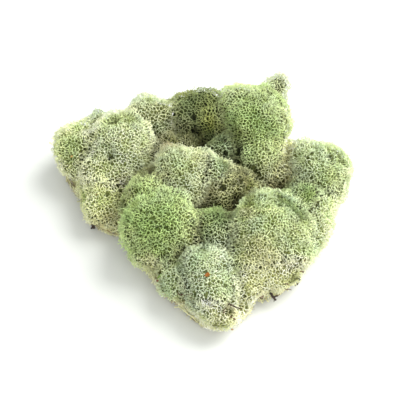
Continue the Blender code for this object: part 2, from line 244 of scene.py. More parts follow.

# Patches of other colours on the side that the photo shows: the colour, how much of it there is,
# the photo's pixel that it lies under, and how wide it is, in millimetres. The dark ones are painted
# shade in crevices, gaps and hollows, and many pale ones are painted light on slopes left in shade.
PATCHES = [
    # far left, and the left heads: the dark patches are painted shade in crevices, and some pale ones
    # painted light
    (GREEN, 0.6, (72, 146), 5),
    (LIME, 0.7, (64, 153), 4),
    (CREAM, 0.7, (77, 160), 4),
    (PALE_MINT, 0.8, (111, 145), 7),
    (LIME, 0.5, (104, 176), 8),
    (PALE_CREAM, 0.9, (122, 181), 4),
    (OLIVE, 0.4, (118, 193), 3),
    (TAN, 0.6, (127, 194), 4),
    (PAINTED_SHADE_BROWN, 0.6, (121, 206), 2.5),
    (PAINTED_SHADE_BROWN, 0.9, (147, 172), 5),
    (PAINTED_SHADE_BROWN, 0.8, (155, 155), 3.5),
    (GREY_GREEN, 0.6, (130, 117), 6),
    (OLIVE, 0.5, (170, 111), 4),
    (STRAW, 0.5, (156, 106), 5),
    (TAN, 0.5, (160, 138), 4),
    (BROWN, 0.7, (168, 144), 4),
    (STRAW, 0.6, (116, 213), 4),
    (TAN, 0.5, (108, 218), 5),
    (BROWN, 0.7, (99, 224), 4),
    (PAINTED_SHADE_BROWN, 0.5, (100, 226), 3),
    # back: the dark patches are painted shade between the back heads
    (PAINTED_SHADE_DARK, 0.85, (195, 137), 5),
    (PAINTED_SHADE_DARK, 0.8, (204, 142), 4),
    (PAINTED_SHADE_DARK, 0.7, (208, 146), 3),
    (PAINTED_SHADE_BROWN, 0.6, (203, 147), 3),
    (PAINTED_SHADE_DARK, 0.85, (225, 136), 4.5),
    (PAINTED_SHADE_GREEN, 0.8, (222, 142), 3),
    (STRAW, 0.5, (183, 126), 4),
    (GREY_GREEN, 0.6, (206, 104), 5),
    (OLIVE, 0.5, (212, 122), 4),
    (LIME, 0.8, (223, 117), 4),
    (MINT, 0.5, (232, 98), 4),
    (GREEN, 0.7, (240, 105), 5),
    (CREAM, 0.6, (248, 92), 5),
    (PALE_MINT, 0.6, (266, 104), 6),
    (GREY_GREEN, 0.6, (271, 89), 4),
    (GREEN, 0.6, (256, 122), 8),
    (OLIVE, 0.5, (240, 132), 4),
    (CREAM, 0.7, (284, 120), 6),
    (LIME, 0.7, (264, 158), 7),
    (CREAM, 0.9, (264, 175), 7),
    (PAINTED_SHADE_DARK, 0.85, (236, 147), 3.5),
    (PAINTED_SHADE_DARK, 0.7, (241, 172), 3),
    # the hollow: the dark patches are painted shade, and the pale ones painted light on its shaded slope
    (MINT, 0.8, (223, 149), 4),
    (PAINTED_SHADE_GREEN, 0.9, (231, 163), 3.5),
    (PAINTED_SHADE_GREEN, 0.7, (226, 164), 3),
    (PAINTED_SHADE_DARK, 0.9, (235, 163), 4),
    (PAINTED_SHADE_BROWN, 0.8, (243, 181), 3),
    (STRAW, 0.6, (234, 183), 4),
    (PAINTED_SHADE_BROWN, 0.9, (239, 201), 4.5),
    (PAINTED_SHADE_BROWN, 0.8, (243, 207), 3),
    (PAINTED_SHADE_BROWN, 0.9, (250, 191), 3.5),
    (STRAW, 0.7, (214, 186), 4),
    (STRAW, 0.9, (206, 200), 5),
    (STRAW, 0.9, (205, 205), 5),
    (PALE_CREAM, 0.9, (203, 202), 4),
    # middle: some pale patches are painted light
    (GREEN, 0.5, (173, 170), 5),
    (PALE_LIME, 0.6, (166, 172), 3.5),
    (PALE_MINT, 0.7, (185, 184), 6),
    (MINT, 0.5, (214, 166), 4),
    (STRAW, 0.5, (202, 194), 5),
    # right: the dark patches are painted shade in crevices, and some pale ones painted light
    (TAN, 0.6, (287, 150), 4),
    (PAINTED_SHADE_BROWN, 0.9, (282, 188), 4),
    (PAINTED_SHADE_BROWN, 0.9, (293, 181), 4),
    (STRAW, 0.8, (286, 163), 6),
    (MINT, 0.6, (318, 148), 6),
    (PALE_MINT, 0.5, (309, 174), 4),
    (GREEN, 0.5, (324, 177), 6),
    (LIME, 0.5, (322, 195), 4),
    (CREAM, 0.7, (348, 172), 4),
    (PALE_MINT, 0.7, (334, 156), 6),
    (STRAW, 0.6, (342, 195), 3),
    (PAINTED_SHADE_GREEN, 0.9, (300, 212), 5),
    (PAINTED_SHADE_GREEN, 0.7, (305, 218), 4),
    (PAINTED_SHADE_DARK, 0.7, (280, 194), 3),
    (PAINTED_SHADE_GREEN, 0.8, (291, 201), 3.5),
    (PAINTED_SHADE_BROWN, 0.7, (266, 188), 4),
    # middle left: the dark patch is painted shade, and the palest ones painted light on lower slopes
    (GREEN, 0.7, (143, 200), 5),
    (DEEP_GREEN, 0.5, (148, 222), 7),
    (LIME, 0.7, (192, 217), 6),
    (DEEP_GREEN, 0.4, (162, 248), 6),
    (PALE_LIME, 0.9, (149, 262), 5),
    (MINT, 0.5, (160, 195), 5),
    (PALE_LIME, 0.7, (189, 240), 4),
    (PAINTED_SHADE_GREEN, 0.8, (181, 265), 4),
    (LIME, 0.7, (181, 249), 4),
    # front: the dark patches are painted shade in gaps, and the palest ones painted light on lower slopes
    # facing away from the window
    (PAINTED_SHADE_DARK, 0.85, (201, 240), 2.5),
    (PAINTED_SHADE_DARK, 0.6, (202, 226), 2.5),
    (PAINTED_SHADE_GREEN, 0.8, (218, 216), 6),
    (PALE_MINT, 0.9, (220, 240), 5),
    (PAINTED_SHADE_GREEN, 0.6, (199, 249), 3),
    (CREAM, 0.8, (236, 233), 4),
    (GREEN, 0.6, (236, 268), 5),
    (GREY_GREEN, 0.6, (232, 262), 3),
    (PALE_LIME, 0.9, (270, 259), 8),
    (PALE_LIME, 0.8, (256, 249), 7),
    (PALE_CREAM, 0.5, (246, 211), 4),
    (CREAM, 0.6, (300, 230), 6),
    (PALE_CREAM, 0.6, (324, 218), 5),
    (PAINTED_SHADE_GREEN, 0.5, (182, 273), 3),
    (GREEN, 0.6, (172, 258), 5),
    (PALE_MINT, 0.7, (188, 280), 5),
    (PAINTED_SHADE_GREEN, 0.6, (193, 301), 3),
    (LIME, 0.4, (220, 290), 5),
    (PALE_LIME, 0.9, (218, 321), 6),
    (PALE_CREAM, 0.9, (217, 325), 5),
    (MINT, 0.9, (191, 306), 4),
    (PALE_MINT, 0.9, (198, 314), 5),
    (PAINTED_SHADE_BROWN, 0.9, (231, 308), 3.5),
    (TAN, 0.6, (238, 315), 4),
    (CREAM, 0.8, (245, 296), 5),
    (TAN, 0.5, (262, 290), 4),
    (PALE_CREAM, 0.8, (292, 267), 5),
    (BROWN, 0.5, (304, 264), 2.5),
]

# Open holes and deep pits, whose colour is darkened as painted shade: the photo's pixel, and the hole's
# radius in millimetres.
HOLES = [
    ((110, 156), 1.5),
    ((121, 202), 1.8),
    ((152, 173), 1.5),
    ((231, 308), 1.3),
    ((232, 164), 1.5),
    ((237, 163), 1.6),
    ((249, 191), 1.6),
    ((238, 203), 1.8),
    ((280, 192), 1.8),
    ((112, 183), 1.0),
    ((107, 193), 1.0),
    ((194, 133), 2.0),
    ((193, 117), 1.3),
    ((238, 151), 2.2),
    ((225, 160), 1.1),
    ((224, 153), 0.9),
    ((245, 173), 1.0),
    ((254, 166), 1.1),
    ((257, 173), 1.3),
    ((239, 181), 1.2),
    ((222, 187), 1.5),
    ((233, 184), 0.9),
    ((206, 163), 1.1),
    ((207, 173), 0.9),
    ((205, 187), 1.1),
    ((217, 204), 1.2),
    ((200, 236), 2.2),
    ((201, 227), 1.4),
    ((280, 204), 1.2),
    ((301, 215), 1.8),
    ((330, 156), 1.1),
    ((319, 182), 0.9),
    ((153, 218), 0.9),
    ((157, 227), 0.9),
    ((165, 227), 0.8),
    ((147, 212), 0.9),
    ((282, 257), 1.2),
    ((287, 261), 1.2),
    ((233, 267), 1.3),
    ((226, 265), 0.9),
    ((226, 285), 0.9),
    ((194, 292), 1.1),
    ((206, 294), 0.8),
    ((195, 305), 1.0),
]

# Where a head stands further out than its solid, or less far: the pixel, how far, and how wide the
# bulge or dent is, in millimetres.
BULGES = [
    ((210, 95), 3.0, 5),
    ((214, 99), 3.0, 4),
    ((137, 256), 1.0, 6),
    ((125, 240), 2.0, 6),
    ((98, 224), 1.5, 5),
    ((160, 293), -1.5, 5),
    ((218, 330), -2.0, 7),
    ((146, 98), -3.0, 5),
    ((68, 132), -1.0, 6),
    ((112, 117), -2.5, 5),
    ((336, 146), -2.0, 7),
    ((343, 152), -2.0, 7),
    ((331, 212), -2.0, 6),
    ((288, 128), -1.5, 5),
    ((237, 90), 2.0, 3),
    ((246, 160), 1.5, 4),
    ((223, 149), 2.0, 3),
    ((258, 174), 3.0, 5),
    ((288, 168), 3.5, 6),
    ((208, 198), 3.5, 4),
    ((203, 199), 3.0, 5),
    ((268, 262), 2.5, 6),
    ((290, 268), 2.0, 5),
    ((250, 262), 1.5, 5),
    ((223, 118), 2.0, 4),
    ((129, 114), -1.5, 5),
    ((181, 249), 2.0, 5),
    ((269, 178), 2.5, 5),
    ((209, 238), 2.0, 3),
    ((222, 142), -1.5, 3),
    ((227, 163), -2.0, 3),
    ((243, 207), -2.0, 4),
    ((200, 149), -1.5, 4),
    ((152, 176), -2.0, 5),
    ((282, 195), -2.0, 5),
    ((294, 207), -2.0, 5),
    ((250, 196), -2.0, 4),
    ((192, 236), 3.0, 5),
    ((222, 240), 3.0, 4),
    ((238, 238), 3.0, 5),
    ((153, 264), 1.5, 4),
    ((183, 118), 2.0, 5),
    ((296, 280), -4.5, 6),
    ((201, 246), -1.5, 3),
    ((137, 108), 6.0, 5),
    ((166, 110), 4.5, 4),
    ((175, 112), 3.0, 4),
    ((70, 183), -4.0, 5),
    ((188, 241), 2.0, 4),
    ((205, 205), 7.0, 4),
    ((218, 322), 1.5, 3),
]

# Small litter caught at the surface: its shape, the pixels of its two ends, and its colour.
LITTER = [
    ("strand", (180, 293), (186, 292), (0.11, 0.07, 0.04)),
    ("strand", (184, 294), (191, 292), (0.12, 0.07, 0.04)),
    ("strand", (177, 291), (181, 294), (0.14, 0.10, 0.06)),
    ("scrap", (159, 278), (163, 274), (0.19, 0.34, 0.06)),
    ("scrap", (158, 280), (160, 281), (0.21, 0.08, 0.05)),
    ("scrap", (205, 274), (206, 275), (0.27, 0.09, 0.03)),
    ("strand", (300, 261), (304, 267), (0.14, 0.10, 0.06)),
    ("strand", (302, 259), (305, 265), (0.18, 0.13, 0.08)),
    ("strand", (298, 271), (302, 271), (0.12, 0.08, 0.05)),
    ("strand", (284, 287), (291, 288), (0.11, 0.07, 0.04)),
    ("strand", (285, 283), (289, 285), (0.17, 0.12, 0.07)),
    ("strand", (258, 296), (262, 293), (0.17, 0.11, 0.07)),
    ("strand", (261, 297), (262, 294), (0.15, 0.10, 0.06)),
    ("strand", (222, 313), (224, 308), (0.11, 0.07, 0.04)),
    ("scrap", (229, 316), (231, 317), (0.10, 0.06, 0.03)),
    ("scrap", (232, 318), (233, 320), (0.13, 0.07, 0.04)),
    ("scrap", (230, 328), (232, 328), (0.29, 0.18, 0.06)),
    ("scrap", (71, 156), (73, 155), (0.53, 0.35, 0.13)),
    ("scrap", (72, 176), (73, 177), (0.16, 0.12, 0.06)),
    ("scrap", (96, 194), (97, 195), (0.19, 0.13, 0.06)),
]
LITTER_RISE = 1.2 * MM
BIT_RISE = 0.4 * MM  # how far the flake and two of the bark bits lie out of their solids
PRESS_WIDTH = 2.2 * MM  # as near to a caught bit as this, the moss is pressed down
PRESS_DEPTH = 0.9 * MM
BARE = 0.9 * MM  # as near to one as this, no branches stand

# The caught bits.
BARK_ROUGHNESS = 0.05 * MM
FORK_BEND = 0.1 * MM
FORK_THINNING = (1, 0.8, 0.5)
CHIP_FRACTAL = 0.3
CHIP_ROUGHNESS = 0.12 * MM
CHIP_BEVEL = 0.03 * MM
FLAKE_REACH = 0.58  # its radius, next to the length of its solid
FLAKE_STEPS = ((0.3, 0.35 * MM), (0.12, 0.1 * MM))  # how it is cupped: each rim's share, and depth
FLAKE_ROUGHNESS = 0.22 * MM
FLAKE_THICKNESS = 0.22 * MM

# Sprigs that stand up from the rim: the pixel of each one's foot, and its length in millimetres.
RIM_SPRIGS = [
    ((209, 93), 4.5),
    ((213, 97), 5),
    ((207, 92), 3),
    ((236, 88), 4),
    ((232, 90), 3),
    ((250, 90), 3),
    ((288, 142), 4),
    ((288, 146), 4),
    ((286, 148), 3.5),
    ((56, 140), 4),
    ((54, 145), 3.5),
    ((60, 158), 3.5),
    ((64, 170), 3.5),
]
SPRIG_FOOT = 1 * MM  # how far out of the solid it starts
SPRIG_SPRAYS = 3
SPRIG_LIFT = 0.8  # how much it leans upwards
SPRIG_SPREAD = 0.25
SPRIG_REACH = (0.6, 1)
SIDE_SPREAD = 0.5  # of the side spray on each of its sprays
SIDE_FOOT = 0.55
SIDE_REACH = 0.4

# How light each finish is lower down on its branches, and at the inner mat: the darkening with depth is
# painted shade.
MOSS = {
    "fresh": (0.93, 0.25),
    "green": (0.85, 0.20),
    "lime": (0.93, 0.29),
    "mint": (0.89, 0.26),
    "cream": (0.89, 0.25),
    "straw_green": (0.87, 0.20),
    "shaded": (0.79, 0.14),
    "olive": (0.79, 0.14),
    "old_moss": (0.79, 0.15),
    "pale": (0.97, 0.31),
    "straw": (0.95, 0.28),
    "old_stalk": (0.87, 0.24),
}

# What tints a branch, from the mat up to its tip, and between which heights each tint gives way. The
# darker tints lower down are painted shade.
MAT_TINT = (0.95, 1.0, 0.55)
MIDDLE_TINT = (0.96, 1.0, 0.78)
BLOTCH_TINT = (1.0, 0.97, 0.86)
BLEACHED_TINT = (1.06, 1.04, 1.08)
MAT_TO_MIDDLE = (0.25, 0.6)
MIDDLE_TO_FRESH = (0.62, 0.9)
FRESH_TO_BLEACHED = (0.9, MOST_TIP)
BLOTCH_WIDTH = 5 * MM
MAT_SPECK_WIDTH = 1.1 * MM
MAT_SPECKS = (0.4, 0.58)  # the noise that they are cut from
MAT_SPECK_TONES = (0.35, 1.25)
GRAIN_WIDTH = 0.6 * MM
GRAIN_TONES = (0.9, 1.08)
MOSS_GLOSS = 0.25

# The patterns of the caught bits' finishes, and the depth of every finish's bump.
RIDGE_WIDTH = 0.5 * MM
WORN_WIDTH = 1.6 * MM
SPOT_WIDTH = 0.8 * MM
LEAF_GLOSS = 0.2
BUMP_DEPTH = 0.1 * MM

# Noise lies mostly between these two: a pattern cut from the first is soft, and from the other crisper.
SOFT = (0.3, 0.7)
CRISP = (0.35, 0.65)

# The photo's view, and the room.
AIM = Vector((3.7, -5.0, 19.3)) * MM
ELEVATION = math.radians(52)
DISTANCE = 589.3 * MM
LENS = 85
SENSOR = 36
PHOTO_WIDTH = 416
NEAREST_SEEN = 0.01
FLOOR_SIZE = 6.0
TABLE_WHITES = (0.71, 0.71, 0.71), (0.73, 0.73, 0.73)
CLOUD_WIDTH = 0.3
ROOM_COLOUR = (0.96, 1, 0.95)
ROOM_LIGHT = 0.85
# Each light's place, size, power and colour.
LIGHTS = {
    "window": ((0.72, 0.42, 0.93), 1.1, 23.5, (0.98, 1, 0.96)),
    "soft_fill": ((0.4, -0.85, 0.62), 1.0, 5.5, (1, 0.99, 0.96)),
}

rng = np.random.default_rng(SEED)


# ---------------------------------------------------------------- finishes


def node(tree, kind, settings=None, **inputs):
    """Adds a node. An input that is given a socket is linked to it, and another takes the value."""
    new = tree.nodes.new(kind)
    for key, value in (settings or {}).items():
        setattr(new, key, value)
    for key, value in inputs.items():
        socket = new.inputs[key.replace("_", " ")]
        if isinstance(value, bpy.types.NodeSocket):
            tree.links.new(value, socket)
        else:
            socket.default_value = value
    return new


def mixed(tree, factor, first, second, blend="MIX"):
    """Mixes two colours, each a socket or a plain colour."""
    new = tree.nodes.new("ShaderNodeMix")
    new.data_type = "RGBA"
    new.blend_type = blend
    # with colours, these are the sockets of the factor, A and B
    for place, value in ((0, factor), (6, first), (7, second)):
        if isinstance(value, bpy.types.NodeSocket):
            tree.links.new(value, new.inputs[place])
        elif place:
            new.inputs[place].default_value = (*value, 1)
        else:
            new.inputs[place].default_value = value
    return new.outputs[2]


def ranged(tree, value, low, high, new_low=0.0, new_high=1.0):
    """Maps a value from one range to another, and keeps it inside."""
    return node(
        tree,
        "ShaderNodeMapRange",
        Value=value,
        From_Min=low,
        From_Max=high,
        To_Min=new_low,
        To_Max=new_high,
    ).outputs["Result"]


def product(tree, first, second):
    """Multiplies two values."""
    times = node(tree, "ShaderNodeMath", {"operation": "MULTIPLY"})
    tree.links.new(first, times.inputs[0])
    tree.links.new(second, times.inputs[1])
    return times.outputs[0]


def toned(tree, colour, strength):
    """Makes a colour lighter or darker."""
    grey = node(tree, "ShaderNodeCombineColor")
    for channel in grey.inputs:
        tree.links.new(strength, channel)
    toned_colour = mixed(tree, 1.0, colour, grey.outputs[0], "MULTIPLY")
    toned_colour.node.clamp_result = True
    return toned_colour


def attribute(tree, name):
    return node(tree, "ShaderNodeAttribute", {"attribute_name": name}).outputs["Fac"]


def speckle(tree, place, width, detail=2.0):
    """Noise whose lumps are about this wide."""
    return node(tree, "ShaderNodeTexNoise", Vector=place, Scale=1 / width, Detail=detail).outputs["Fac"]


def new_finish(name):
    """A material, with its tree, its shader and the coordinates that its patterns read."""
    material = bpy.data.materials.new(name)
    material.use_nodes = True
    tree = material.node_tree
    shader = tree.nodes["Principled BSDF"]
    place = node(tree, "ShaderNodeTexCoord").outputs["Object"]
    return material, tree, shader, place


def finish_surface(tree, shader, place, colour, rough, grain_width, strength):
    """Links the colour, a roughness that varies in patches, and a fine bump."""
    tree.links.new(colour, shader.inputs["Base Color"])
    patch_width = 5 * grain_width
    rough_patches = ranged(tree, speckle(tree, place, patch_width), *SOFT, *rough)
    tree.links.new(rough_patches, shader.inputs["Roughness"])
    bump = node(
        tree,
        "ShaderNodeBump",
        Height=speckle(tree, place, grain_width, detail=3.0),
        Strength=strength,
        Distance=BUMP_DEPTH,
    )
    tree.links.new(bump.outputs[0], shader.inputs["Normal"])


def tinted(tree, colour, tint, light=1.0):
    """Multiplies a colour by a tint, itself made lighter or darker."""
    return mixed(tree, 1.0, colour, [light * part for part in tint], "MULTIPLY")


def moss_finish(name, halfway, deep):
    """Branches that are pale at their tips, greener lower down, and dark at the mat: painted shade deeper
    in the lace.
    """
    material, tree, shader, place = new_finish(name)
    hue = node(tree, "ShaderNodeAttribute", {"attribute_name": "hue"}).outputs["Vector"]
    blotches = ranged(tree, speckle(tree, place, BLOTCH_WIDTH), *CRISP)
    hue = mixed(tree, blotches, hue, tinted(tree, hue, BLOTCH_TINT))
    bleached = tinted(tree, hue, BLEACHED_TINT)
    # painted shade: darker and greener lower down on a branch, darkest at the mat
    middle = tinted(tree, hue, MIDDLE_TINT, halfway)
    mat = tinted(tree, hue, MAT_TINT, deep)
    specks = ranged(tree, speckle(tree, place, MAT_SPECK_WIDTH), *MAT_SPECKS, *MAT_SPECK_TONES)
    height = attribute(tree, "tip")
    colour = mixed(tree, ranged(tree, height, *MAT_TO_MIDDLE), toned(tree, mat, specks), middle)
    colour = mixed(tree, ranged(tree, height, *MIDDLE_TO_FRESH), colour, hue)
    colour = mixed(tree, ranged(tree, height, *FRESH_TO_BLEACHED), colour, bleached)
    grain = ranged(tree, speckle(tree, place, GRAIN_WIDTH), *SOFT, *GRAIN_TONES)
    colour = toned(tree, colour, product(tree, attribute(tree, "tone"), grain))
    finish_surface(tree, shader, place, colour, rough=(0.72, 0.95), grain_width=0.35 * MM, strength=0.35)
    shader.inputs["Specular IOR Level"].default_value = MOSS_GLOSS
    return material


def bark_finish(name, dark, light):
    """Dry bark: dark, with paler ridges and a rough surface."""
    material, tree, shader, place = new_finish(name)
    ridges = ranged(tree, speckle(tree, place, RIDGE_WIDTH, detail=4.0), low=0.42, high=0.62)
    worn = ranged(tree, speckle(tree, place, WORN_WIDTH), *CRISP, new_low=0.7, new_high=1.1)
    colour = toned(tree, mixed(tree, ridges, dark, light), worn)
    finish_surface(tree, shader, place, colour, rough=(0.7, 0.92), grain_width=0.3 * MM, strength=0.6)
    return material


def leaf_finish(name, base, spots):
    """A dry leaf: one colour with darker spots, and a faint gloss."""
    material, tree, shader, place = new_finish(name)
    spotted = ranged(tree, speckle(tree, place, SPOT_WIDTH, detail=3.0), low=0.5, high=0.66)
    colour = mixed(tree, spotted, base, spots)
    finish_surface(tree, shader, place, colour, rough=(0.5, 0.7), grain_width=0.3 * MM, strength=0.4)
    shader.inputs["Specular IOR Level"].default_value = LEAF_GLOSS
    return material


# ---------------------------------------------------------------- branches and bits


def branch(points, widths, sides=SIDES):
    """Grows a branch in edit mode: a small face at its foot, extruded from point to point."""
    turn = (points[1] - points[0]).to_track_quat("Z", "Y").to_euler()
    bpy.ops.mesh.select_all(action="DESELECT")
    bpy.ops.mesh.primitive_circle_add(
        vertices=sides,
        radius=widths[0] / 2,
        fill_type="NGON",
        location=points[0],
        rotation=turn,
    )
    for place, start, end in zip(range(1, len(points)), points, points[1:]):
        bpy.ops.mesh.extrude_region_move(TRANSFORM_OT_translate={"value": end - start})
        shrink = widths[place] / widths[place - 1]
        bpy.ops.transform.resize(value=(shrink,) * 3, center_override=end)


def start_piece(name):
    """An empty mesh object in edit mode, for branches to be grown in."""
    bpy.ops.object.select_all(action="DESELECT")
    bpy.ops.mesh.primitive_circle_add(vertices=SIDES, radius=MM)
    obj = bpy.context.object
    obj.name = name
    obj.data.name = name
    bpy.ops.object.mode_set(mode="EDIT")
    bpy.ops.mesh.select_all(action="SELECT")
    bpy.ops.mesh.delete(type="VERT")
    return obj


def close_piece():
    """Faces the whole mesh outwards, in triangles, and leaves edit mode."""
    bpy.ops.mesh.select_all(action="SELECT")
    bpy.ops.mesh.quads_convert_to_tris()
    bpy.ops.mesh.normals_make_consistent(inside=False)
    bpy.ops.object.mode_set(mode="OBJECT")


def twig(name, length, start, end):
    """Models a short branch from the origin up. With no end width, it is pointed."""
    obj = start_piece(name)
    tip = Vector((0, 0, length))
    branch([Vector(), tip], [start, end or start])
    if not end:
        bpy.ops.mesh.merge(type="CENTER")
    close_piece()
    return read_shape(obj)


def old_stalk(name, bends, side_foot, side_tip):
    """Models a bent old stalk along +Z, with a small side branch. The bends are in millimetres."""
    obj = start_piece(name)
    points = [Vector(bend) * MM for bend in bends]
    branch(points, [share * OLD_STALK_WIDTH for share in OLD_STALK_THINNING], sides=4)
    foot, tip = Vector(side_foot) * MM, Vector(side_tip) * MM
    branch([foot, (foot + tip) / 2, tip], SIDE_BRANCH_WIDTHS)
    close_piece()
    return read_shape(obj)


def scrap(name, size, seed):
    """Models a rough little bit of litter, longest along +Z."""
    obj = start_piece(name)
    bpy.ops.mesh.primitive_cube_add(size=1, location=(0, 0, size.z / 2), scale=size)
    worn, uneven = 0.25 * size.x, 0.16 * size.x
    bpy.ops.mesh.bevel(offset=worn, segments=1)
    bpy.ops.transform.vertex_random(offset=uneven, seed=seed)
    close_piece()
    return read_shape(obj)


def read_shape(obj):
    """The points and triangles of a small shape. The pattern object itself is taken away."""
    mesh = obj.data
    points = np.empty(len(mesh.vertices) * 3)
    mesh.vertices.foreach_get("co", points)
    corners = np.empty(len(mesh.loops), int)
    mesh.loops.foreach_get("vertex_index", corners)
    bpy.data.objects.remove(obj, do_unlink=True)
    bpy.data.meshes.remove(mesh)
    return points.reshape(-1, 3), corners.reshape(-1, 3)


# ---------------------------------------------------------------- where they stand


def unit(ways):
    """These ways, each made one long."""
    return ways / np.linalg.norm(ways, axis=1)[:, None]


def leaning(ways, spread):
    """These ways, each turned a little at random."""
    return unit(ways + rng.normal(0, spread, ways.shape))


def some_of(these, share):
    """A random choice of about this share of these."""
    return these[rng.uniform(size=len(these)) < share]


def nearness(places, middle, width):
    """How near some spots are to a middle: 1 there, and less with the distance, as a soft bump."""
    return np.exp(-((places - middle) ** 2).sum(1) / (2 * width**2))


def skin_of(name):
    """A merged copy of a piece's solid."""
    bm = bmesh.new()
    bm.from_mesh(frame["nodes"][name].data)
    bmesh.ops.remove_doubles(bm, verts=bm.verts, dist=MERGE)
    bm.normal_update()
    bm.verts.index_update()
    return bm


def tree_of(names):
    """What rays are cast at: the solids of these pieces, and whose each face is."""
    bm = bmesh.new()
    owners = []
    for name in names:
        bm.from_mesh(frame["nodes"][name].data)
        owners += [name] * (len(bm.faces) - len(owners))
    tree = BVHTree.FromBMesh(bm)
    bm.free()
    return tree, owners


def corners_of(faces):
    """The places of each face's corners, and the way out at each."""
    places = np.array([[vertex.co for vertex in face.verts] for face in faces])
    ways = np.array([[vertex.normal for vertex in face.verts] for face in faces])
    return places, ways


def scattered(faces, spacing):
    """Spots on some faces that keep this far apart, with the way out at each."""
    corners, ways = corners_of(faces)
    areas = np.array([face.calc_area() for face in faces])
    tries = int(CROWDING * areas.sum() / spacing**2)
    chosen = rng.choice(len(areas), tries, p=areas / areas.sum())
    mix = rng.dirichlet((1, 1, 1), tries)[:, :, None]
    places = (corners[chosen] * mix).sum(1)
    normals = (ways[chosen] * mix).sum(1)
    taken, kept = {}, []
    for index, cell in enumerate(np.floor(places / spacing).astype(int)):
        x, y, z = cell
        near = [
            other
            for i in (x - 1, x, x + 1)
            for j in (y - 1, y, y + 1)
            for k in (z - 1, z, z + 1)
            for other in taken.get((i, j, k), ())
        ]
        if not near or (((places[near] - places[index]) ** 2).sum(1) >= spacing**2).all():
            taken.setdefault((x, y, z), []).append(index)
            kept.append(index)
    return places[kept], unit(normals[kept])


def fine_grid(count):
    """A grid in a triangle: each point's shares of the corners, and the small triangles of it."""
    rows = [(i, j, count - i - j) for i in range(count + 1) for j in range(count + 1 - i)]
    index = {(i, j): place for place, (i, j, k) in enumerate(rows)}
    small = []
    for i, j, k in rows:
        if k >= 1:
            small.append((index[i, j], index[i + 1, j], index[i, j + 1]))
        if k >= 2:
            small.append((index[i + 1, j], index[i + 1, j + 1], index[i, j + 1]))
    return np.array(rows) / count, np.array(small)


def lookup_of(places):
    """A tree that finds the nearest of these places."""
    lookup = KDTree(len(places))
    for index, place in enumerate(places):
        lookup.insert(place, index)
    lookup.balance()
    return lookup


def lace(faces, spacing, pits):
    """The junctions between scattered cells on a surface, the way out at each, and their joins.

    The pits are cells too, and the others keep a little away from them.
    """
    corners, ways = corners_of(faces)
    middles, _ = scattered(faces, spacing)
    near_pits = lookup_of(pits)
    free = [near_pits.find(middle)[2] > PIT_CLEARANCE for middle in middles]
    middles = np.concatenate([middles[free], pits])
    lookup = lookup_of(middles)
    shares, small = fine_grid(FINE)
    places = np.einsum("gc,fcx->fgx", shares, corners)
    nearest = np.array([lookup.find(place)[1] for place in places.reshape(-1, 3)])
    cells = np.sort(nearest.reshape(len(corners), -1)[:, small], axis=2)
    meet = (cells[..., 0] < cells[..., 1]) & (cells[..., 1] < cells[..., 2])
    normals = np.einsum("gc,fcx->fgx", shares, ways)
    found, kind = np.unique(cells[meet], axis=0, return_inverse=True)
    kind = kind.ravel()
    first = np.zeros(len(found), int)
    first[kind] = np.arange(len(kind))
    spots = places[:, small].mean(2)[meet][first]
    outs = unit(normals[:, small].mean(2)[meet][first])
    borders = {}
    for index, (a, b, c) in enumerate(found):
        for border in ((a, b), (b, c), (a, c)):
            borders.setdefault(border, []).append(index)
    joins = np.array([ends for ends in borders.values() if len(ends) == 2])
    return spots, outs, joins


def sky_rays(count):
    """Ways spread evenly over a ball."""
    index = np.arange(count) + 0.5
    height = 1 - 2 * index / count
    angle = math.pi * (1 + 5**0.5) * index
    across = np.sqrt(1 - height**2)
    return [Vector(v) for v in np.stack([np.cos(angle) * across, np.sin(angle) * across, height], 1)]


SKY = sky_rays(OPEN_RAYS)


def openness(place, way):
    """How much of what a spot faces is open sky, from 0 to 1."""
    start = place + way * OPEN_START
    free = 0
    for ray in SKY:
        direction = (ray + way * OPEN_LEAN).normalized()
        if whole_clump.ray_cast(start, direction, OPEN_REACH)[0] is None:
            free += 1
    return free / len(SKY)


def turned_to(ways, twist):
    """For each way, the rotation that stands a shape along it, twisted about it."""
    level = np.abs(ways[:, 2:]) < NEARLY_UPRIGHT
    up = np.where(level, (0, 0, 1), (1, 0, 0))
    side = unit(np.cross(up, ways))
    across = np.cross(ways, side)
    c, s = np.cos(twist)[:, None], np.sin(twist)[:, None]
    return np.stack([side * c + across * s, across * c - side * s, ways], axis=2)


def under_pixel(x, y):
    """The spot of the clump that the photo shows at a pixel, the way out there, and whose it is."""
    camera = bpy.context.scene.camera
    across = (x + 0.5) / PHOTO_WIDTH - 0.5
    down = (y + 0.5) / PHOTO_WIDTH - 0.5
    sight = camera.rotation_euler.to_matrix() @ Vector((across * SENSOR, -down * SENSOR, -LENS))
    spot, out, face, _ = whole_clump.ray_cast(camera.location, sight.normalized())
    return spot, out, whole_owners[face]


# ---------------------------------------------------------------- joining them into one mesh


